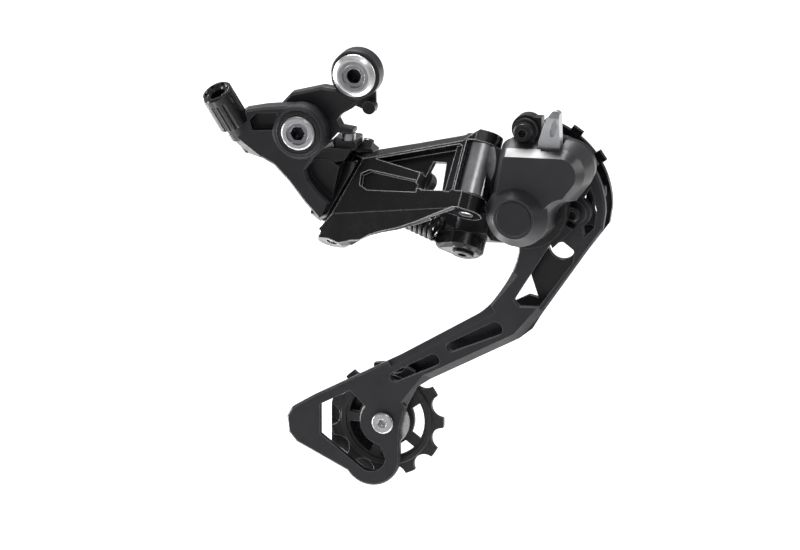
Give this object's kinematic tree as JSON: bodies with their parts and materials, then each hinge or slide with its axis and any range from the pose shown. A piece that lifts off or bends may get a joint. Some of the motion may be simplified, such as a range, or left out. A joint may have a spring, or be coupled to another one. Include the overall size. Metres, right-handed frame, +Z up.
{
  "type": "rear bicycle derailleur",
  "caption": "Rear derailleur for a bicycle: slanted parallelogram, sprung long cage with two chain pulleys, friction clutch lever, and hanger bolt.",
  "frame": {"origin": "axis of the hanger bolt, where it meets the outboard face of the frame's hanger", "axes": "+X bicycle forward, +Y inboard towards the wheel and along the hanger bolt's thread, +Z up"},
  "size_m": [0.1514, 0.0503, 0.1749],
  "materials": {
    "cast_black": "gloss black anodised casting",
    "forged_black": "satin black anodised plate",
    "cover_grey": "fine satin dark grey",
    "cap_grey": "smooth dark grey",
    "bright_steel": "turned and polished",
    "dark_steel": "black oxide",
    "spring_steel": "drawn wire",
    "lever_silver": "satin silver",
    "pulley_plastic": "moulded dark grey",
    "cap_silver": "satin silver",
    "bush_plastic": "moulded bearing plastic",
    "seal_rubber": "matt",
    "adjuster_black": "glossy moulded",
    "ground_steel": "ground"
  },
  "bodies": {
    "mount": {"bracket_link": "cast_black", "hanger_bolt": "bright_steel", "stop_plate": "dark_steel", "bolt_snap_ring": "bright_steel", "bracket_axle": "bright_steel"},
    "bracket_body": {"bracket_body": "cast_black", "axle_dust_ring": "dark_steel", "bracket_bush": "bush_plastic", "b_tension_screw": "bright_steel", "low_limit_screw": "dark_steel", "high_limit_screw": "dark_steel", "adjuster_stem": "dark_steel"},
    "adjuster": {"adjuster_barrel": "adjuster_black"},
    "outer_link": {"outer_link": "cast_black", "outer_rear_pin": "bright_steel", "outer_front_pin": "bright_steel", "cable_clamp_washer": "dark_steel", "cable_clamp_bolt": "dark_steel"},
    "inner_link": {"inner_link": "cast_black", "inner_rear_pin": "bright_steel", "inner_front_pin": "dark_steel", "return_spring": "spring_steel"},
    "pivot_body": {"pivot_body": "cast_black", "cage_bush": "bush_plastic", "housing_seal": "seal_rubber", "cage_spring": "spring_steel", "clutch_cover": "cover_grey", "cover_cap": "cap_grey", "cover_screw": "dark_steel", "roller_clutch": "dark_steel", "friction_band": "dark_steel"},
    "clutch_lever": {"clutch_lever": "lever_silver", "clutch_cam": "dark_steel"},
    "cage": {"outer_cage_plate": "forged_black", "inner_cage_plate": "forged_black", "cage_axle": "bright_steel", "cage_stop_pin": "dark_steel", "tension_pulley_bolt": "bright_steel", "guide_pulley_bolt": "dark_steel", "guide_sleeve": "ground_steel", "tension_sleeve": "ground_steel", "guide_dust_caps": "cap_silver", "tension_dust_caps": "cap_silver"},
    "guide_pulley": {"guide_pulley": "pulley_plastic"},
    "tension_pulley": {"tension_pulley": "pulley_plastic"}
  },
  "joints": [
    {"name": "bracket_pivot", "type": "hinge", "parent": "mount", "child": "bracket_body", "pos_m": [-0.0202, -0.007, -0.0222], "axis": [0, 1, 0], "range_deg": [0, 25], "stiffness_Nm_per_rad": 0.5, "springref_deg": -57.3},
    {"name": "adjuster_turn", "type": "hinge", "parent": "bracket_body", "child": "adjuster", "pos_m": [-0.0463, -0.012, -0.0208], "axis": [-0.348, -0.389, 0.853], "continuous": true},
    {"name": "link_swing", "type": "hinge", "parent": "bracket_body", "child": "outer_link", "pos_m": [-0.00422, 0.00216, -0.03949], "axis": [0.0816, 0.5715, 0.8165], "range_deg": [0, 48], "stiffness_Nm_per_rad": 0.4, "springref_deg": -68.75},
    {"name": "inner_link_swing", "type": "hinge", "parent": "bracket_body", "child": "inner_link", "pos_m": [-0.00721, 0.01704, -0.04961], "axis": [0.0816, 0.5715, 0.8165], "range_deg": [0, 48]},
    {"name": "body_swing", "type": "hinge", "parent": "outer_link", "child": "pivot_body", "pos_m": [0.048, -0.011, -0.0355], "axis": [0.0816, 0.5715, 0.8165], "range_deg": [-48, 0]},
    {"name": "clutch_lever_flip", "type": "hinge", "parent": "pivot_body", "child": "clutch_lever", "pos_m": [0.0778, -0.0116, -0.0244], "axis": [-1, 0, 0], "range_deg": [0, 60]},
    {"name": "cage_pivot", "type": "hinge", "parent": "pivot_body", "child": "cage", "pos_m": [0.0665, 0, -0.0469], "axis": [0, -1, 0], "range_deg": [0, 78], "stiffness_Nm_per_rad": 0.25, "springref_deg": -68.75},
    {"name": "guide_pulley_spin", "type": "hinge", "parent": "cage", "child": "guide_pulley", "pos_m": [0.0705, 0.012, -0.0445], "axis": [0, 1, 0], "continuous": true},
    {"name": "tension_pulley_spin", "type": "hinge", "parent": "cage", "child": "tension_pulley", "pos_m": [0.007, 0.012, -0.14], "axis": [0, 1, 0], "continuous": true}
  ],
  "couplings": [
    {"joint": "inner_link_swing", "follows": "link_swing", "ratio": 1},
    {"joint": "body_swing", "follows": "link_swing", "ratio": -1}
  ]
}
